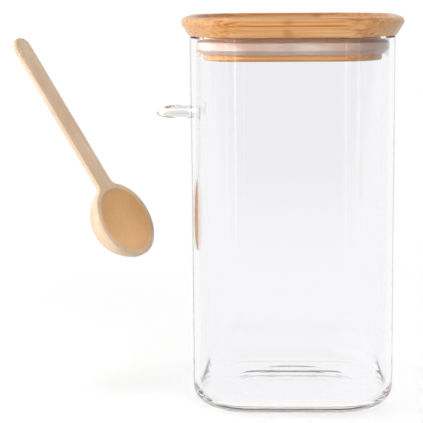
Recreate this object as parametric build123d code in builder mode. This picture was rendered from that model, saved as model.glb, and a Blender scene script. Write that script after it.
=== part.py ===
from build123d import *
from math import atan2, degrees, sqrt
import os

# Coffee canister: square glass jar with a glass spoon loop, a sealed bamboo lid and a wooden spoon.
# Millimetres, +Z up. The origin is the centre of the jar's foot, on the surface that it stands on.
# The front faces -Y, and the spoon loop is on the -X wall.

# Jar
jar_width = 96.5
jar_height = 176.8
jar_corner_radius = 28.0
jar_wall = 2.8
jar_base_thickness = 4.5
jar_bottom_edge_radius = 8.8
jar_rim_bevel = 0.9
foot_hollow_width = 62.0
foot_hollow_depth = 1.2

# Spoon loop
loop_rod = 4.7
loop_leg_spacing = 26.0
loop_reach = 20.1
loop_height = 139.5
loop_root_flare = 1.1
loop_root_flare_length = 1.6

# Lid board
lid_overhang = 3.75
lid_thickness = 8.7
lid_side_height = 5.6
lid_side_slope = 32.0
lid_top_rounding = 2.3
lid_side_rounding = 1.2
lid_rim_width = 4.4
lid_rim_bevel = 0.5
lid_recess_depth = 2.3
lid_recess_slope = 15.0
lid_recess_bevel = 0.8

# Lid plug and the seal in its groove
plug_clearance = 3.6
plug_upper_flange = 2.5
plug_groove_height = 5.7
plug_groove_depth = 3.6
plug_lower_flange = 3.0
plug_edge_bevel = 0.6
seal_clearance = 0.3
seal_core_gap = 0.1
seal_lip_height = 3.6
seal_heel_inset = 2.2
seal_lip_bevel = 0.7

# Spoon
bowl_diameter = 38.7
bowl_depth = 16.6
bowl_rim_width = 2.9
bowl_floor_thickness = 3.4
bowl_rim_bevel = 0.5
bowl_shoulder_rounding = 5.0
handle_length = 83.7
handle_width = 11.0
handle_thickness = 2.7
handle_end_rounding = 5.0
handle_top_bevel = 0.5
handle_under_rounding = 1.0
neck_radius = 4.5

# Place of the spoon, which is out of its loop and stands by itself beside the jar
spoon_gap = 14.4
spoon_height = 86.4
spoon_lean = 59.6
spoon_tip_back = 5.3
spoon_turn = 60.4

os.makedirs("parts", exist_ok=True)

# Glass jar: a rounded square pot with a soft bottom edge, a foot that rises in the middle and a bevelled rim
cavity_width = jar_width - 2 * jar_wall
cavity_corner_radius = jar_corner_radius - jar_wall
with BuildPart() as glass_jar:
    with BuildSketch():
        RectangleRounded(jar_width, jar_width, jar_corner_radius)
    extrude(amount=jar_height)
    fillet(glass_jar.faces().sort_by(Axis.Z)[0].edges(), jar_bottom_edge_radius)
    with BuildSketch(Plane.XY.offset(jar_base_thickness)):
        RectangleRounded(cavity_width, cavity_width, cavity_corner_radius)
    extrude(amount=jar_height - jar_base_thickness, mode=Mode.SUBTRACT)
    foot_face, floor_face, rim_face = glass_jar.faces().filter_by(Plane.XY).sort_by(Axis.Z)
    fillet(floor_face.edges(), jar_bottom_edge_radius - jar_wall)
    chamfer(rim_face.edges(), jar_rim_bevel)
    with BuildSketch(Plane.XZ):
        with BuildLine():
            hollow_line = Line((-foot_hollow_width / 2, 0), (foot_hollow_width / 2, 0))
            ThreePointArc(hollow_line @ 0, (0, foot_hollow_depth), hollow_line @ 1)
        make_face()
        split(bisect_by=Plane.YZ)
    revolve(axis=Axis.Z, mode=Mode.SUBTRACT)
glass_jar.part.label = "glass_jar"
export_step(glass_jar.part, "parts/glass_jar.step")

# Spoon loop: a bent glass rod whose two ends are melted onto the jar's left wall
wall_x = -jar_width / 2
bend_radius = loop_leg_spacing / 2
bend_x = wall_x - (loop_reach - loop_rod / 2 - bend_radius)
rod_radius = loop_rod / 2
loop_plane = Plane.XY.offset(loop_height)
with BuildPart() as spoon_loop:
    with BuildLine(loop_plane) as loop_route:
        Line((wall_x, bend_radius), (bend_x, bend_radius))
        CenterArc((bend_x, 0), bend_radius, 90, 180)
        Line((bend_x, -bend_radius), (wall_x, -bend_radius))
    with BuildSketch(Plane((wall_x, bend_radius, loop_height), z_dir=(-1, 0, 0))):
        Circle(rod_radius)
    sweep(path=loop_route.line)
    with BuildSketch(loop_plane):
        with BuildLine():
            root_edge = (wall_x, bend_radius + rod_radius + loop_root_flare)
            flare_tip = (wall_x - loop_root_flare_length, bend_radius + rod_radius)
            flare_heart = (wall_x - loop_root_flare_length, bend_radius)
            Polyline((wall_x, bend_radius), root_edge, flare_tip, flare_heart, close=True)
        make_face()
    root_axis = Axis((wall_x, bend_radius, loop_height), (1, 0, 0))
    revolve(axis=root_axis)
    mirror(about=Plane.XZ)
spoon_loop.part.label = "spoon_loop"
export_step(spoon_loop.part, "parts/spoon_loop.step")

# Lid board: its sides slope in towards the jar, its top edge is rounded over,
# and inside a raised rim its top is sunk, so that the foot of another jar can stand in it
lid_width = jar_width + 2 * lid_overhang
lid_corner_radius = jar_corner_radius + lid_overhang
widest_height = jar_height + lid_side_height
recess_width = lid_width - 2 * lid_rim_width
recess_corner_radius = lid_corner_radius - lid_rim_width
with BuildPart() as lid_board:
    with BuildSketch(Plane.XY.offset(widest_height)) as widest_outline:
        RectangleRounded(lid_width, lid_width, lid_corner_radius)
    extrude(amount=lid_thickness - lid_side_height)
    fillet(lid_board.faces().sort_by(Axis.Z)[-1].edges(), lid_top_rounding)
    extrude(widest_outline.sketch, amount=-lid_side_height, taper=lid_side_slope)
    widest_edges = lid_board.edges().filter_by_position(Axis.Z, widest_height, widest_height)
    fillet(widest_edges, lid_side_rounding)
    with BuildSketch(Plane.XY.offset(jar_height + lid_thickness)):
        RectangleRounded(recess_width, recess_width, recess_corner_radius)
    extrude(amount=-lid_recess_depth, taper=lid_recess_slope, mode=Mode.SUBTRACT)
    recess_floor, rim_top = lid_board.faces().filter_by(Plane.XY).sort_by(Axis.Z)[-2:]
    chamfer(recess_floor.edges(), lid_recess_bevel)
    chamfer(rim_top.inner_wires()[0].edges(), lid_rim_bevel)
lid_board.part.label = "lid_board"
export_step(lid_board.part, "parts/lid_board.step")

# Lid plug: a bamboo block glued under the board, with a groove between two flanges
plug_width = cavity_width - 2 * plug_clearance
plug_corner_radius = cavity_corner_radius - plug_clearance
core_width = plug_width - 2 * plug_groove_depth
core_corner_radius = plug_corner_radius - plug_groove_depth
groove_top = jar_height - plug_upper_flange
groove_bottom = groove_top - plug_groove_height
with BuildPart() as lid_plug:
    with BuildSketch(Plane.XY.offset(groove_top)):
        RectangleRounded(plug_width, plug_width, plug_corner_radius)
    extrude(amount=plug_upper_flange)
    with BuildSketch(Plane.XY.offset(groove_bottom)):
        RectangleRounded(core_width, core_width, core_corner_radius)
    extrude(amount=plug_groove_height)
    with BuildSketch(Plane.XY.offset(groove_bottom)):
        RectangleRounded(plug_width, plug_width, plug_corner_radius)
    extrude(amount=-plug_lower_flange)
    chamfer(lid_plug.faces().sort_by(Axis.Z)[0].edges(), plug_edge_bevel)
lid_plug.part.label = "lid_plug"
export_step(lid_plug.part, "parts/lid_plug.step")

# Seal ring: a soft band that fills the groove, with a lip that closes against the jar
seal_width = cavity_width - 2 * seal_clearance
seal_corner_radius = cavity_corner_radius - seal_clearance
seal_hole_width = core_width + 2 * seal_core_gap
lip_bottom = groove_top - seal_lip_height
heel_height = plug_groove_height - seal_lip_height
heel_slope = degrees(atan2(seal_heel_inset, heel_height))
with BuildPart() as seal_ring:
    with BuildSketch(Plane.XY.offset(lip_bottom)) as lip_outline:
        RectangleRounded(seal_width, seal_width, seal_corner_radius)
    extrude(amount=seal_lip_height)
    chamfer(seal_ring.faces().sort_by(Axis.Z)[-1].edges(), seal_lip_bevel)
    extrude(lip_outline.sketch, amount=-heel_height, taper=heel_slope)
    with BuildSketch(Plane.XY.offset(groove_bottom)):
        RectangleRounded(seal_hole_width, seal_hole_width, core_corner_radius + seal_core_gap)
    extrude(amount=plug_groove_height, mode=Mode.SUBTRACT)
seal_ring.part.label = "seal_ring"
export_step(seal_ring.part, "parts/seal_ring.step")

# Spoon: a turned bowl and a flat handle, flush with each other on the open side.
# It is drawn level, with the bowl at the middle, the handle along X and the open side up.
bowl_radius = bowl_diameter / 2
mouth_radius = bowl_radius - bowl_rim_width
hollow_depth = bowl_depth - bowl_floor_thickness
tip_x = bowl_radius + handle_length
half_handle = handle_width / 2
# The bowl's wall is straight as deep as the handle is thick, so the neck springs from the rim's circle
neck_centre_y = half_handle + neck_radius
neck_centre_x = sqrt((bowl_radius + neck_radius) ** 2 - neck_centre_y**2)
neck_share = bowl_radius / (bowl_radius + neck_radius)
neck_start = (neck_centre_x * neck_share, neck_centre_y * neck_share)
neck_end = (neck_centre_x, half_handle)
with BuildPart() as spoon:
    with BuildSketch() as handle_outline:
        with BuildLine():
            RadiusArc(neck_start, neck_end, -neck_radius)
            Polyline(neck_end, (tip_x, half_handle), (tip_x, 0))
            Polyline((tip_x, 0), (neck_start[0], 0), neck_start)
        make_face()
        mirror(about=Plane.XZ)
        fillet(handle_outline.vertices().sort_by(Axis.X)[-2:], handle_end_rounding)
    extrude(amount=-handle_thickness)
    under_face, top_face = spoon.faces().filter_by(Plane.XY).sort_by(Axis.Z)
    chamfer(top_face.edges().sort_by(Axis.X)[1:], handle_top_bevel)
    under_edges = spoon.edges().filter_by_position(Axis.Z, -handle_thickness, -handle_thickness)
    fillet(under_edges.sort_by(Axis.X)[1:], handle_under_rounding)
    with BuildSketch(Plane.XZ) as bowl_outline:
        with BuildLine():
            wall_foot = (bowl_radius, -handle_thickness)
            bowl_curve = ThreePointArc(wall_foot, (0, -bowl_depth), (-bowl_radius, -handle_thickness))
            Polyline(bowl_curve @ 1, (-bowl_radius, 0), (bowl_radius, 0), wall_foot)
        make_face()
        split(bisect_by=Plane.YZ)
        outer_corners = bowl_outline.vertices().sort_by(Axis.X)[-2:].sort_by(Axis.Y)
        chamfer(outer_corners[1], bowl_rim_bevel)
        fillet(outer_corners[0], bowl_shoulder_rounding)
    revolve(axis=Axis.Z)
    with BuildSketch(Plane.XZ):
        with BuildLine():
            mouth_line = Line((0, 0), (mouth_radius, 0))
            hollow_curve = ThreePointArc(mouth_line @ 1, (0, -hollow_depth), (-mouth_radius, 0))
            Line(hollow_curve @ 1, mouth_line @ 0)
        make_face()
        split(bisect_by=Plane.YZ)
    revolve(axis=Axis.Z, mode=Mode.SUBTRACT)
    chamfer(spoon.faces().filter_by(Plane.XY).sort_by(Axis.Z)[-1].inner_wires()[0].edges(), bowl_rim_bevel)

# The spoon is turned to stand beside the jar: tipped back, leaning to the left, its open side to the right
spoon_x = wall_x - spoon_gap - bowl_radius
facing_front = Location(Plane((spoon_x, 0, spoon_height), x_dir=(1, 0, 0), z_dir=(0, -1, 0)))
leaning = facing_front * Rotation(-spoon_tip_back, 0, 0) * Rotation(0, 0, 180 - spoon_lean)
spoon.part.location = leaning * Rotation(spoon_turn, 0, 0)
spoon.part.label = "spoon"
export_step(spoon.part, "parts/spoon.step")
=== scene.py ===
import math

import bpy
from mathutils import Matrix, Vector


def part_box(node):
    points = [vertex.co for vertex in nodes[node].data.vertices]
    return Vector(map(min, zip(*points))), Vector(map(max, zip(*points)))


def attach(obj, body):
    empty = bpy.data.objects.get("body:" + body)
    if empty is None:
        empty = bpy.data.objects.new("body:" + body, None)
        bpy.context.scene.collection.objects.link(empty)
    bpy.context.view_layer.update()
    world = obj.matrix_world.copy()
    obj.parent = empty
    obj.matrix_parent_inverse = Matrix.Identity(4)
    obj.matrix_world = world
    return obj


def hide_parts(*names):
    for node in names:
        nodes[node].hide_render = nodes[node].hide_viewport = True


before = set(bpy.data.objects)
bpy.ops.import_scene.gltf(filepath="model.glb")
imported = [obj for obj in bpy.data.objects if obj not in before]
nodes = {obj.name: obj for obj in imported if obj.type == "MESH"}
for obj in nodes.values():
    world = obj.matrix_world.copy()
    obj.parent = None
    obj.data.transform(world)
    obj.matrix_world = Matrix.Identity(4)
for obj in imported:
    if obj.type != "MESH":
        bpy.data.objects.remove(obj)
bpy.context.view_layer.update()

# The coffee canister in metres: +Z up, the front faces -Y, and the spoon stands at -X of the glass jar
MM = 0.001
WHITE = (1.0, 1.0, 1.0, 1.0)


def from_hex(colour):
    """Turns an sRGB hex colour into the linear values that the shaders take."""
    parts = [int(colour[i:i + 2], 16) / 255 for i in (1, 3, 5)]
    return (*[p / 12.92 if p <= 0.04045 else ((p + 0.055) / 1.055) ** 2.4 for p in parts], 1.0)


def put(tree, kind, sockets=None, stops=None, **settings):
    """Adds one node. sockets gives each input a value or another node's output, and stops fills a ramp."""
    made = tree.nodes.new(kind)
    for name, value in settings.items():
        setattr(made, name, value)
    for socket, value in (sockets or {}).items():
        if isinstance(value, bpy.types.NodeSocket):
            tree.links.new(value, made.inputs[socket])
        else:
            made.inputs[socket].default_value = value
    if stops:
        ramp = made.color_ramp
        while len(ramp.elements) < len(stops):
            ramp.elements.new(1.0)
        for element, (place, colour) in zip(ramp.elements, stops):
            element.position, element.color = place, from_hex(colour)
    return made


def repeats(x, y, z):
    """Texture scale for a pattern whose marks are x, y and z millimetres long."""
    return tuple(1 / (size * MM) for size in (x, y, z))


def new_material(name):
    """An empty material and its node tree."""
    material = bpy.data.materials.new(name)
    material.use_nodes = True
    material.node_tree.nodes.clear()
    return material, material.node_tree


def finish_material(tree, shader):
    """Joins the last shader to the material's output."""
    put(tree, "ShaderNodeOutputMaterial", {"Surface": shader.outputs[0]})


def dress(name, material):
    """Gives a CAD node its finish."""
    for slot in nodes[name].material_slots:
        slot.material = material


# Camera, fitted to the outline of the jar and the lid. The camera's axis meets the photo right of its middle,
# by a number of its pixels.
PHOTO_WIDTH = 423
AXIS_RIGHT_OF_MIDDLE = 40
camera_data = bpy.data.cameras.new("camera")
camera = bpy.data.objects.new("camera", camera_data)
bpy.context.scene.collection.objects.link(camera)
bpy.context.scene.camera = camera
camera.location = (-0.0001, -0.6813, 0.2025)
camera.rotation_euler = [math.radians(angle) for angle in (80.62, 0.33, 1.64)]
camera_data.sensor_width = 36.0
camera_data.lens = 119.5
camera_data.shift_x = -AXIS_RIGHT_OF_MIDDLE / PHOTO_WIDTH
camera_data.clip_start, camera_data.clip_end = 0.01, 100.0
bpy.context.scene.view_settings.view_transform = "Standard"

# Light goes to and fro many times inside a glass corner before it comes out
GLASS_BOUNCES = 64
cycles = bpy.context.scene.cycles
cycles.max_bounces = cycles.glossy_bounces = cycles.transmission_bounces = GLASS_BOUNCES

# Light: a white backdrop behind, a dimmer room in front, softboxes around, and narrow strip lights close by,
# which the glass mirrors as faint upright streaks. Levels are shares of white, and the two shares dim the room
# from left to right. The gain says how many times brighter the windows are for what stands inside the glass.
ROOM_LEVEL = 0.45
FRONT_LEVEL = 0.5
FRONT_FLOOR_LEVEL = 0.45
WINDOW_LEVEL = 1.0
WINDOWS_TOWARDS = (-0.85, -0.42, 0.30)
WINDOW_GAIN_INSIDE = 9.0
LEFT_SHARE, RIGHT_SHARE = 1.3, 0.35


def make_pale_room():
    """The room's light, which depends on the ray: the camera sees plain white behind the piece, and the glass
    still mirrors a room with a bright and a dim side."""
    world = bpy.data.worlds.new("pale_room")
    bpy.context.scene.world = world
    world.use_nodes = True
    room = world.node_tree
    room.nodes.clear()
    ray = put(room, "ShaderNodeLightPath").outputs
    towards = put(room, "ShaderNodeTexCoord").outputs["Generated"]
    heading = put(room, "ShaderNodeSeparateXYZ", {0: towards}).outputs
    backdrop = put(room, "ShaderNodeMapRange", {"Value": heading["Y"], "From Min": -0.3, "From Max": 0.15,
                                                "To Min": FRONT_LEVEL, "To Max": 1.0},
                   interpolation_type="SMOOTHSTEP")

    # The left side is a wall of windows, which brightens what is seen in the glass and what stands inside it
    leftward = put(room, "ShaderNodeVectorMath", {0: towards, 1: WINDOWS_TOWARDS}, operation="DOT_PRODUCT")
    windows = put(room, "ShaderNodeMapRange", {"Value": leftward.outputs["Value"], "From Min": 0.3,
                                               "From Max": 1.0, "To Min": 0.0, "To Max": WINDOW_LEVEL},
                  interpolation_type="SMOOTHSTEP")

    # The softboxes don't shine through the glass, so the windows are brighter for what stands inside it
    inside = put(room, "ShaderNodeMath", {0: ray["Diffuse Depth"], 1: ray["Is Transmission Ray"]},
                 operation="MINIMUM")
    through = put(room, "ShaderNodeMath", {0: inside.outputs[0], 1: WINDOW_GAIN_INSIDE - 1.0, 2: 1.0},
                  operation="MULTIPLY_ADD")

    # What is lit from the right stands in the darker half of the room
    rightward = put(room, "ShaderNodeMapRange", {"Value": heading["X"], "From Min": -1.0, "From Max": 1.0,
                                                 "To Min": LEFT_SHARE, "To Max": RIGHT_SHARE})
    dimmed = put(room, "ShaderNodeMath", {0: backdrop.outputs[0], 1: rightward.outputs[0]},
                 operation="MULTIPLY")
    behind = put(room, "ShaderNodeMix", {"Factor": inside.outputs[0], "A": backdrop.outputs[0],
                                         "B": dimmed.outputs[0]})
    shown = put(room, "ShaderNodeMath", {0: windows.outputs[0], 1: through.outputs[0], 2: behind.outputs[0]},
                operation="MULTIPLY_ADD")
    plain_room = put(room, "ShaderNodeMath", {0: rightward.outputs[0], 1: ROOM_LEVEL}, operation="MULTIPLY")
    bounced = put(room, "ShaderNodeMath", {0: ray["Is Glossy Ray"], 1: ray["Is Transmission Ray"]},
                  operation="MAXIMUM")
    around = put(room, "ShaderNodeMix", {"Factor": bounced.outputs[0], "A": plain_room.outputs[0],
                                         "B": shown.outputs[0]})
    level = put(room, "ShaderNodeMath", {0: around.outputs[0], 1: ray["Is Camera Ray"]}, operation="MAXIMUM")
    sky = put(room, "ShaderNodeBackground", {"Color": WHITE, "Strength": level.outputs[0]})
    put(room, "ShaderNodeOutputWorld", {"Surface": sky.outputs[0]})


make_pale_room()

# The lamps are aimed at the jar, a little towards the spoon
LAMP_AIM = Vector((-0.03, 0.0, 0.10))


def softbox(name, bearing, rise, distance, width, height, power, edge=0.4, mirrored=False):
    """A white lamp whose light fades out over its edge, a share of its size, as under a cloth cover.
    bearing is in degrees from the front towards the left, rise in degrees above level, and power in watts.
    A lamp that isn't mirrored doesn't show in the glass."""
    data = bpy.data.lights.new(name, "AREA")
    data.shape, data.size, data.size_y = "RECTANGLE", width, height
    data.energy = power
    data.use_nodes = True
    tree = data.node_tree
    tree.nodes.clear()
    across = put(tree, "ShaderNodeNewGeometry").outputs["Parametric"]
    cloth = put(tree, "ShaderNodeSeparateXYZ", {0: across}).outputs
    fades = []
    for side in ("X", "Y"):
        inward = put(tree, "ShaderNodeMath", {0: cloth[side], 1: 0.5}, operation="PINGPONG")
        fades.append(put(tree, "ShaderNodeMapRange", {"Value": inward.outputs[0], "From Max": edge},
                         interpolation_type="SMOOTHSTEP"))
    glow = put(tree, "ShaderNodeMath", {0: fades[0].outputs[0], 1: fades[1].outputs[0]},
               operation="MULTIPLY")
    lit = put(tree, "ShaderNodeEmission", {"Strength": glow.outputs[0]})
    put(tree, "ShaderNodeOutputLight", {"Surface": lit.outputs[0]})
    lamp = bpy.data.objects.new(name, data)
    bpy.context.scene.collection.objects.link(lamp)
    turn, lift = math.radians(bearing), math.radians(rise)
    heading = Vector((-math.sin(turn) * math.cos(lift), -math.cos(turn) * math.cos(lift), math.sin(lift)))
    lamp.location = LAMP_AIM + heading * distance
    lamp.rotation_euler = heading.to_track_quat("Z", "Y").to_euler()
    lamp.visible_camera = False
    lamp.visible_glossy = lamp.visible_transmission = mirrored
    return lamp


# The two low softboxes stay below the lid's top, so that they light its sloped front and not its sunk top
softbox("softbox_left", bearing=88, rise=10, distance=1.3, width=1.2, height=0.9, power=17.0)
softbox("low_softbox_left", bearing=54, rise=-0.5, distance=1.4, width=1.0, height=0.17, power=30.0)
softbox("softbox_right", bearing=-30, rise=28, distance=1.6, width=1.0, height=0.8, power=8.5)
softbox("low_softbox_right", bearing=-31, rise=-0.5, distance=1.5, width=0.5, height=0.17, power=12.0)
softbox("softbox_overhead", bearing=0, rise=86, distance=1.6, width=1.4, height=1.4, power=23.5)

# The strip lights, each with its bearing and power, shine on the jar alone, where they are mirrored
STRIP_LIGHTS = [(24, 0.16), (40, 0.12), (62, 0.09), (-24, 0.12), (-46, 0.13)]
mirror = bpy.data.collections.new("mirror_of_strip_lights")
mirror.objects.link(nodes["glass_jar"])
for number, (bearing, power) in enumerate(STRIP_LIGHTS, start=1):
    strip_light = softbox(f"strip_light_{number}", bearing, rise=19, distance=0.42, width=0.018, height=0.8,
                          power=power, edge=0.45, mirrored=True)
    strip_light.light_linking.receiver_collection = mirror


def make_floor():
    """A wide plain floor. It is as white as the room, and the camera sees the soft shadow on it."""
    half_width, drop = 20.0, 0.3 * MM
    shadow_fades_from, shadow_fades_to = 0.10, 0.40
    dims_from, dims_to = -0.30, -0.90
    shadow_lift = 0.45
    mesh = bpy.data.meshes.new("floor")
    corners = [(-half_width, -half_width, -drop), (half_width, -half_width, -drop),
               (half_width, half_width, -drop), (-half_width, half_width, -drop)]
    mesh.from_pydata(corners, [], [(0, 1, 2, 3)])
    floor = bpy.data.objects.new("floor", mesh)
    bpy.context.scene.collection.objects.link(floor)
    material, tree = new_material("floor_white")
    ray = put(tree, "ShaderNodeLightPath").outputs
    mirrored = put(tree, "ShaderNodeMath", {0: ray["Is Glossy Ray"], 1: ray["Is Transmission Ray"]},
                   operation="MAXIMUM")
    place = put(tree, "ShaderNodeTexCoord").outputs["Object"]
    from_middle = put(tree, "ShaderNodeVectorMath", {0: place}, operation="LENGTH")
    fade = put(tree, "ShaderNodeMapRange", {"Value": from_middle.outputs["Value"],
                                            "From Min": shadow_fades_from, "From Max": shadow_fades_to},
               interpolation_type="SMOOTHSTEP")
    far_seen = put(tree, "ShaderNodeMath", {0: ray["Is Camera Ray"], 1: fade.outputs[0]},
                   operation="MULTIPLY")
    bare = put(tree, "ShaderNodeMath", {0: mirrored.outputs[0], 1: far_seen.outputs[0]}, operation="MAXIMUM")
    lift = put(tree, "ShaderNodeMath", {0: ray["Is Camera Ray"], 1: shadow_lift}, operation="MULTIPLY")
    paper = put(tree, "ShaderNodeBsdfDiffuse", {"Color": from_hex("#DADADA")})
    glow = put(tree, "ShaderNodeEmission", {"Color": WHITE, "Strength": lift.outputs[0]})
    lit = put(tree, "ShaderNodeAddShader", {0: paper.outputs[0], 1: glow.outputs[0]})

    # In front of the jar the floor is as dim as the room there, and the glass mirrors it so
    depth = put(tree, "ShaderNodeSeparateXYZ", {0: place}).outputs["Y"]
    forward = put(tree, "ShaderNodeMapRange", {"Value": depth, "From Min": dims_to, "From Max": dims_from,
                                               "To Min": FRONT_FLOOR_LEVEL, "To Max": 1.0},
                  interpolation_type="SMOOTHSTEP")
    level = put(tree, "ShaderNodeMath", {0: forward.outputs[0], 1: ray["Is Camera Ray"]}, operation="MAXIMUM")
    plain = put(tree, "ShaderNodeEmission", {"Color": WHITE, "Strength": level.outputs[0]})
    finish_material(tree, put(tree, "ShaderNodeMixShader", {0: bare.outputs[0], 1: lit.outputs[0],
                                                            2: plain.outputs[0]}))
    mesh.materials.append(material)


make_floor()


def blown_borosilicate(name, tint, streak_width, streak_length, waviness):
    """Borosilicate glass, drawn and blown: clear and cool, with faint streaks where the wall's thickness
    varies, which bend the light behind it a little. Their sizes and the waviness are in millimetres."""
    material, tree = new_material(name)
    place = put(tree, "ShaderNodeTexCoord").outputs["Object"]
    streak_scale = repeats(streak_width, streak_width, streak_length)
    along = put(tree, "ShaderNodeVectorMath", {0: place, 1: streak_scale}, operation="MULTIPLY")
    streaks = put(tree, "ShaderNodeTexNoise", {"Vector": along.outputs[0], "Scale": 1.0, "Detail": 1.0})
    bump = put(tree, "ShaderNodeBump", {"Strength": 1.0, "Distance": waviness * MM,
                                        "Height": streaks.outputs["Fac"]})
    glass = put(tree, "ShaderNodeBsdfPrincipled", {
        "Base Color": from_hex(tint), "Roughness": 0.0, "IOR": 1.47, "Transmission Weight": 1.0,
        "Normal": bump.outputs[0]})
    finish_material(tree, glass)
    return material


def pressed_bamboo(name, pale, mid, deep, knot_at):
    """Pressed bamboo strips, sanded and oiled: long fibres along X, fine dark dots where they end,
    and a darker band at each knot of the cane. The sizes are in millimetres."""
    strip_width, glue_line = 17.5, 0.4
    knot_reach, knot_core, knot_end, knot_fray = 80, 0.6, 3.2, 3
    golden_share = 0.618
    material, tree = new_material(name)
    coordinates = put(tree, "ShaderNodeTexCoord").outputs
    place = coordinates["Object"]
    axis = put(tree, "ShaderNodeSeparateXYZ", {0: place}).outputs

    # Which strip, and its own tone and shift along the cane
    across = put(tree, "ShaderNodeMath", {0: axis["Y"], 1: 1 / (strip_width * MM)}, operation="MULTIPLY")
    strip = put(tree, "ShaderNodeMath", {0: across.outputs[0]}, operation="FLOOR")
    chance = put(tree, "ShaderNodeTexWhiteNoise", {"W": strip.outputs[0]}, noise_dimensions="1D")
    shift = put(tree, "ShaderNodeVectorMath", {0: chance.outputs["Color"], 1: (0.3, 0.0, 0.1)},
                operation="MULTIPLY")
    along = put(tree, "ShaderNodeVectorMath", {0: place, 1: shift.outputs[0]}, operation="ADD").outputs[0]

    # Fibre bundles, about 0.6 mm apart in real cane and drawn at 1 mm so that they show
    wide = put(tree, "ShaderNodeVectorMath", {0: along, 1: repeats(120, 4.5, 1.8)}, operation="MULTIPLY")
    tone = put(tree, "ShaderNodeTexNoise", {"Vector": wide.outputs[0], "Scale": 1.0, "Detail": 2.0})
    fine = put(tree, "ShaderNodeVectorMath", {0: along, 1: repeats(70, 0.9, 0.9)}, operation="MULTIPLY")
    fibre = put(tree, "ShaderNodeTexNoise", {"Vector": fine.outputs[0], "Scale": 1.0, "Detail": 3.0})
    dots = put(tree, "ShaderNodeVectorMath", {0: along, 1: repeats(24, 1.0, 1.0)}, operation="MULTIPLY")
    bundle = put(tree, "ShaderNodeTexVoronoi", {"Vector": dots.outputs[0], "Scale": 1.0, "Randomness": 0.8})
    mark = put(tree, "ShaderNodeMapRange", {"Value": bundle.outputs["Distance"], "From Min": 0.16,
                                            "From Max": 0.34, "To Min": 1.0, "To Max": 0.0})

    # Where the cane is cut across, the long streaks give way to the dots of the fibre ends
    facing = put(tree, "ShaderNodeSeparateXYZ", {0: coordinates["Normal"]}).outputs
    sideways = put(tree, "ShaderNodeMath", {0: facing["X"]}, operation="ABSOLUTE")
    cut = put(tree, "ShaderNodeMapRange", {"Value": sideways.outputs[0], "From Min": 0.3, "From Max": 0.7})
    streak = put(tree, "ShaderNodeMix", {"Factor": cut.outputs[0], "A": tone.outputs["Fac"], "B": 0.5})
    blend = put(tree, "ShaderNodeMath", {0: streak.outputs[0], 1: fibre.outputs["Fac"]}, operation="ADD")
    spread = put(tree, "ShaderNodeMapRange", {"Value": blend.outputs[0], "From Min": 0.72, "From Max": 1.28})
    wood = put(tree, "ShaderNodeValToRGB", {"Fac": spread.outputs[0]},
               stops=[(0.0, deep), (0.45, mid), (1.0, pale)])

    # One knot in each strip, spread evenly along the cane
    golden = put(tree, "ShaderNodeMath", {0: strip.outputs[0], 1: golden_share}, operation="MULTIPLY")
    turn = put(tree, "ShaderNodeMath", {0: golden.outputs[0], 1: knot_at}, operation="ADD")
    share = put(tree, "ShaderNodeMath", {0: turn.outputs[0]}, operation="FRACT")
    knot_x = put(tree, "ShaderNodeMapRange", {"Value": share.outputs[0], "To Min": -knot_reach * MM,
                                              "To Max": knot_reach * MM})
    offset = put(tree, "ShaderNodeMath", {0: axis["X"], 1: knot_x.outputs[0]}, operation="SUBTRACT")
    ragged = put(tree, "ShaderNodeMath", {0: fibre.outputs["Fac"], 1: knot_fray * MM}, operation="MULTIPLY")
    frayed = put(tree, "ShaderNodeMath", {0: offset.outputs[0], 1: ragged.outputs[0]}, operation="ADD")
    away = put(tree, "ShaderNodeMath", {0: frayed.outputs[0]}, operation="ABSOLUTE")
    knot = put(tree, "ShaderNodeMapRange", {"Value": away.outputs[0], "From Min": knot_core * MM,
                                            "From Max": knot_end * MM, "To Min": 0.55, "To Max": 0.0})

    # Glue line between two strips, drawn at 0.4 mm, because a real one would be too thin to show
    within = put(tree, "ShaderNodeMath", {0: across.outputs[0]}, operation="FRACT")
    edge = put(tree, "ShaderNodeMath", {0: within.outputs[0], 1: glue_line / strip_width},
               operation="LESS_THAN")
    seam = put(tree, "ShaderNodeMath", {0: edge.outputs[0], 1: 0.5}, operation="MULTIPLY")

    # The knots are kept in patches, and they, the glue lines and the dots darken the wood
    strength = put(tree, "ShaderNodeMapRange", {"Value": cut.outputs[0], "To Min": 0.2, "To Max": 0.5})
    darker = put(tree, "ShaderNodeMath", {0: mark.outputs[0], 1: strength.outputs[0]}, operation="MULTIPLY")
    broken = put(tree, "ShaderNodeVectorMath", {0: along, 1: repeats(40, 6, 3.2)}, operation="MULTIPLY")
    patch = put(tree, "ShaderNodeTexNoise", {"Vector": broken.outputs[0], "Scale": 1.0, "Detail": 0.0})
    kept = put(tree, "ShaderNodeMapRange", {"Value": patch.outputs["Fac"], "From Min": 0.42,
                                            "From Max": 0.56})
    spot = put(tree, "ShaderNodeMath", {0: knot.outputs[0], 1: kept.outputs[0]}, operation="MULTIPLY")
    stains = put(tree, "ShaderNodeMath", {0: spot.outputs[0], 1: seam.outputs[0]}, operation="MAXIMUM")
    stain = put(tree, "ShaderNodeMath", {0: stains.outputs[0], 1: darker.outputs[0]}, operation="MAXIMUM")
    own_tone = put(tree, "ShaderNodeMapRange", {"Value": chance.outputs["Value"], "To Min": 0.92,
                                                "To Max": 1.06})
    toned = put(tree, "ShaderNodeHueSaturation", {"Color": wood.outputs["Color"],
                                                  "Value": own_tone.outputs[0]})
    # The cut ends are drawn paler: partly the end grain's own colour, partly a painted sheen
    paler = put(tree, "ShaderNodeMath", {0: cut.outputs[0], 1: 0.3}, operation="MULTIPLY")
    end_grain_and_painted_sheen = put(tree, "ShaderNodeMixRGB", {"Fac": paler.outputs[0], "Color1": toned.outputs["Color"],
                                          "Color2": from_hex("#D8B58C")})
    stained = put(tree, "ShaderNodeMixRGB", {"Fac": stain.outputs[0], "Color1": end_grain_and_painted_sheen.outputs["Color"],
                                             "Color2": from_hex("#A8642C")})

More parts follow.
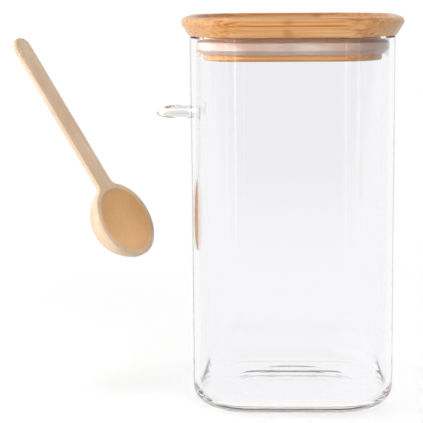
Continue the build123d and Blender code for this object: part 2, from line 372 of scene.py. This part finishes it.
    # The sanded fibres stand a little proud and the dots are open pores, and both break up the oil's shine
    rough = put(tree, "ShaderNodeMapRange", {"Value": fibre.outputs["Fac"], "To Min": 0.22, "To Max": 0.38})
    relief = put(tree, "ShaderNodeMath", {0: fibre.outputs["Fac"], 1: mark.outputs[0]}, operation="SUBTRACT")
    bump = put(tree, "ShaderNodeBump", {"Strength": 0.4, "Distance": 0.06 * MM, "Height": relief.outputs[0]})
    shader = put(tree, "ShaderNodeBsdfPrincipled", {
        "Base Color": stained.outputs["Color"], "Roughness": rough.outputs[0], "IOR": 1.46,
        "Sheen Weight": 0.2, "Normal": bump.outputs[0]})
    finish_material(tree, shader)
    return material


def moulded_silicone():
    """Moulded food-grade silicone: soft satin sheen, a little light passes into it, and the dark wood
    behind gives it a warm grey."""
    skin_grain = 0.8
    material, tree = new_material("moulded_silicone")
    place = put(tree, "ShaderNodeTexCoord").outputs["Object"]
    cloud = put(tree, "ShaderNodeVectorMath", {0: place, 1: repeats(14, 14, 6)}, operation="MULTIPLY")
    haze = put(tree, "ShaderNodeTexNoise", {"Vector": cloud.outputs[0], "Scale": 1.0, "Detail": 2.0})
    colour = put(tree, "ShaderNodeValToRGB", {"Fac": haze.outputs["Fac"]},
                 stops=[(0.3, "#CDAB98"), (0.5, "#D6B9A9"), (0.7, "#DECABF")])
    skin = put(tree, "ShaderNodeTexNoise", {"Vector": place, "Scale": 1 / (skin_grain * MM), "Detail": 1.0})
    bump = put(tree, "ShaderNodeBump", {"Strength": 0.2, "Distance": 0.02 * MM,
                                        "Height": skin.outputs["Fac"]})
    shader = put(tree, "ShaderNodeBsdfPrincipled", {
        "Base Color": colour.outputs["Color"], "Roughness": 0.38, "IOR": 1.41, "Subsurface Weight": 0.3,
        "Subsurface Radius": (1.0, 0.8, 0.7), "Subsurface Scale": 1.5 * MM, "Normal": bump.outputs[0]})
    finish_material(tree, shader)
    return material


# The spoon's own axes, as it was turned: X along the handle, Z out of the open side, with the origin in the
# middle of the bowl's mouth. The angles are in degrees.
SPOON_LEAN = 59.6
SPOON_TIP_BACK = 5.3
SPOON_TURN = 60.4
spoon_origin = Vector((-0.0820, 0.0, 0.0864))
facing_front = Matrix.Rotation(math.radians(90), 4, "X")
tipped = Matrix.Rotation(math.radians(-SPOON_TIP_BACK), 4, "X")
leaning = Matrix.Rotation(math.radians(180 - SPOON_LEAN), 4, "Z")
turned = Matrix.Rotation(math.radians(SPOON_TURN), 4, "X")
spoon_axes = facing_front @ tipped @ leaning @ turned
to_spoon = spoon_axes.inverted()


def turned_beech():
    """Beech, turned and sanded and left dry: pale, with long faint growth lines and short darker flecks.
    The sizes are in millimetres. The hollow is part of a ball whose middle lies above the bowl's mouth."""
    ring_spacing, ring_drift, ring_slope = 2.2, 9, 0.35
    hollow_middle, hollow_radius, hollow_edge = 3.65, 17.0, 17.6
    material, tree = new_material("turned_beech")
    place = put(tree, "ShaderNodeTexCoord").outputs["Object"]
    local = put(tree, "ShaderNodeMapping", {
        "Vector": place, "Location": to_spoon @ -spoon_origin, "Rotation": to_spoon.to_euler()}).outputs[0]

    # Growth lines, about 2 mm apart across the spoon and nearly straight along it
    bend = put(tree, "ShaderNodeVectorMath", {0: local, 1: repeats(70, 12, 9)}, operation="MULTIPLY")
    sway = put(tree, "ShaderNodeTexNoise", {"Vector": bend.outputs[0], "Scale": 1.0, "Detail": 2.0})
    axis = put(tree, "ShaderNodeSeparateXYZ", {0: local}).outputs
    rise = put(tree, "ShaderNodeMath", {0: axis["Z"], 1: ring_slope}, operation="MULTIPLY")
    depth = put(tree, "ShaderNodeMath", {0: axis["Y"], 1: rise.outputs[0]}, operation="ADD")
    drift = put(tree, "ShaderNodeMath", {0: sway.outputs["Fac"], 1: ring_drift * MM}, operation="MULTIPLY")
    ring_at = put(tree, "ShaderNodeMath", {0: depth.outputs[0], 1: drift.outputs[0]}, operation="ADD")
    turns = put(tree, "ShaderNodeMath", {0: ring_at.outputs[0], 1: 2 * math.pi / (ring_spacing * MM)},
                operation="MULTIPLY")
    wave = put(tree, "ShaderNodeMath", {0: turns.outputs[0]}, operation="SINE")
    ring = put(tree, "ShaderNodeMapRange", {"Value": wave.outputs[0], "From Min": -1.0, "From Max": 1.0})

    # Rays, which show as flecks 2 to 3 mm long, and fine pores
    grain = put(tree, "ShaderNodeVectorMath", {0: local, 1: repeats(18, 0.7, 0.7)}, operation="MULTIPLY")
    pores = put(tree, "ShaderNodeTexNoise", {"Vector": grain.outputs[0], "Scale": 1.0, "Detail": 3.0})
    short = put(tree, "ShaderNodeVectorMath", {0: local, 1: repeats(3.2, 1.0, 1.0)}, operation="MULTIPLY")
    rays = put(tree, "ShaderNodeTexVoronoi", {"Vector": short.outputs[0], "Scale": 1.0})
    fleck = put(tree, "ShaderNodeMapRange", {"Value": rays.outputs["Distance"], "From Min": 0.1,
                                             "From Max": 0.3, "To Min": 0.18, "To Max": 0.0})
    patch = put(tree, "ShaderNodeVectorMath", {0: local, 1: repeats(26, 9, 9)}, operation="MULTIPLY")
    cloud = put(tree, "ShaderNodeTexNoise", {"Vector": patch.outputs[0], "Scale": 1.0, "Detail": 1.0})
    lines = put(tree, "ShaderNodeMath", {0: ring.outputs[0], 1: 0.12}, operation="MULTIPLY")
    body = put(tree, "ShaderNodeMath", {0: cloud.outputs["Fac"], 1: lines.outputs[0]}, operation="ADD")
    mixed = put(tree, "ShaderNodeMath", {0: body.outputs[0], 1: pores.outputs["Fac"]}, operation="ADD")
    spread = put(tree, "ShaderNodeMapRange", {"Value": mixed.outputs[0], "From Min": 0.70, "From Max": 1.45})
    wood = put(tree, "ShaderNodeValToRGB", {"Fac": spread.outputs[0]},
               stops=[(0.0, "#D8B594"), (0.5, "#E0C4A6"), (1.0, "#E8D3BB")])

    # The hollow is drawn deeper and warmer in colour: partly the open ends of the fibres, as it is turned
    # across the grain, and partly painted warm light bouncing inside the bowl
    from_middle = put(tree, "ShaderNodeVectorMath", {0: local, 1: (0.0, 0.0, hollow_middle * MM)},
                      operation="DISTANCE")
    hollow = put(tree, "ShaderNodeMapRange", {"Value": from_middle.outputs["Value"],
                                              "From Min": hollow_radius * MM, "From Max": hollow_edge * MM,
                                              "To Min": 0.6, "To Max": 0.0})
    end_grain_and_painted_bounce = put(tree, "ShaderNodeMixRGB", {"Fac": hollow.outputs[0], "Color1": wood.outputs["Color"],
                                            "Color2": from_hex("#F0BE7C")})
    flecked = put(tree, "ShaderNodeMixRGB", {"Fac": fleck.outputs[0], "Color1": end_grain_and_painted_bounce.outputs["Color"],
                                             "Color2": from_hex("#B98A61")})
    rough = put(tree, "ShaderNodeMapRange", {"Value": pores.outputs["Fac"], "To Min": 0.5, "To Max": 0.68})
    bump = put(tree, "ShaderNodeBump", {"Strength": 0.35, "Distance": 0.05 * MM,
                                        "Height": pores.outputs["Fac"]})
    shader = put(tree, "ShaderNodeBsdfPrincipled", {
        "Base Color": flecked.outputs["Color"], "Roughness": rough.outputs[0], "IOR": 1.46,
        "Sheen Weight": 0.2, "Normal": bump.outputs[0]})
    finish_material(tree, shader)
    return material


def draw_spoon_loop(steps_round=36, steps_along=96):
    """A rod of glass, softened in a flame and bent into a U by hand, whose two ends are melted onto the jar's
    wall: each swells smoothly into the wall, and the rod is a little uneven from the drawing."""
    low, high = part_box("spoon_loop")
    level = (low.z + high.z) / 2
    wall, tip = high.x, low.x
    # The ends are sunk into the wall, because two faces in one place leave dark spots in clear glass
    rod, swell, swell_length, sunk = 2.35 * MM, 1.05 * MM, 2.2 * MM, 0.25 * MM
    swell_curve = 2.4
    wave_height, wave_length = 0.035 * MM, 4.1 * MM
    ripple_height, ripple_length = 0.02 * MM, 1.9 * MM
    bend = 13.0 * MM
    bend_middle = tip + rod + bend
    leg = wall + sunk - bend_middle
    length = 2 * leg + math.pi * bend
    crowding = 0.11
    corners, faces = [], []
    for step in range(steps_along + 1):
        # The rings lie closer together near the wall, where the rod swells
        share = step / steps_along
        along = length * (share - crowding * math.sin(4 * math.pi * share) / 2)
        if along < leg:
            middle, heading = Vector((wall + sunk - along, -bend, level)), Vector((-1, 0, 0))
        elif along > length - leg:
            middle, heading = Vector((wall + sunk - (length - along), bend, level)), Vector((1, 0, 0))
        else:
            turn = (along - leg) / bend
            middle = Vector((bend_middle - bend * math.sin(turn), -bend * math.cos(turn), level))
            heading = Vector((-math.cos(turn), math.sin(turn), 0))
        from_wall = max(min(along, length - along) - sunk, 0.0)
        melt = max(1 - from_wall / swell_length, 0.0)
        hand = (wave_height * math.sin(along / wave_length)
                + ripple_height * math.sin(along / ripple_length + 1.0))
        radius = rod + swell * melt ** swell_curve + min(hand, 0.0) * (1 - melt)
        side = heading.cross(Vector((0, 0, 1)))
        for corner in range(steps_round):
            angle = 2 * math.pi * corner / steps_round
            corners.append(middle + radius * (side * math.cos(angle) + Vector((0, 0, math.sin(angle)))))
        if step:
            first, last = (step - 1) * steps_round, step * steps_round
            for corner in range(steps_round):
                beside = (corner + 1) % steps_round
                faces.append((first + corner, first + beside, last + beside, last + corner))
    faces.append(tuple(range(steps_round))[::-1])
    faces.append(tuple(range(steps_along * steps_round, (steps_along + 1) * steps_round)))
    mesh = bpy.data.meshes.new("drawn_spoon_loop")
    mesh.from_pydata(corners, [], faces)
    mesh.validate()
    mesh.polygons.foreach_set("use_smooth", [len(face.vertices) == 4 for face in mesh.polygons])
    mesh.update()
    loop = bpy.data.objects.new("drawn_spoon_loop", mesh)
    bpy.context.scene.collection.objects.link(loop)
    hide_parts("spoon_loop")
    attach(loop, "canister")
    return loop


# The finishes of the pieces
dress("glass_jar", blown_borosilicate("blown_jar_glass", "#FAFAFB", 9, 400, 0.035))
# The rod's glass is tinted greyer than the jar's: a painted shade that dims the loop
rod_glass = blown_borosilicate("drawn_rod_glass", "#E2E5E4", 5, 5, 0.12)
dress("spoon_loop", rod_glass)
draw_spoon_loop().data.materials.append(rod_glass)
dress("lid_board", pressed_bamboo("oiled_bamboo_board", "#E7B781", "#D59450", "#BE6F2E", 0.35))
# The plug is the board's bamboo drawn brighter and more orange: painted light, standing in for the light that
# reaches it through the glass
dress("lid_plug", pressed_bamboo("oiled_bamboo_plug_with_painted_light", "#F2B673", "#E3A055", "#B97632", 0.6))
dress("seal_ring", moulded_silicone())
dress("spoon", turned_beech())
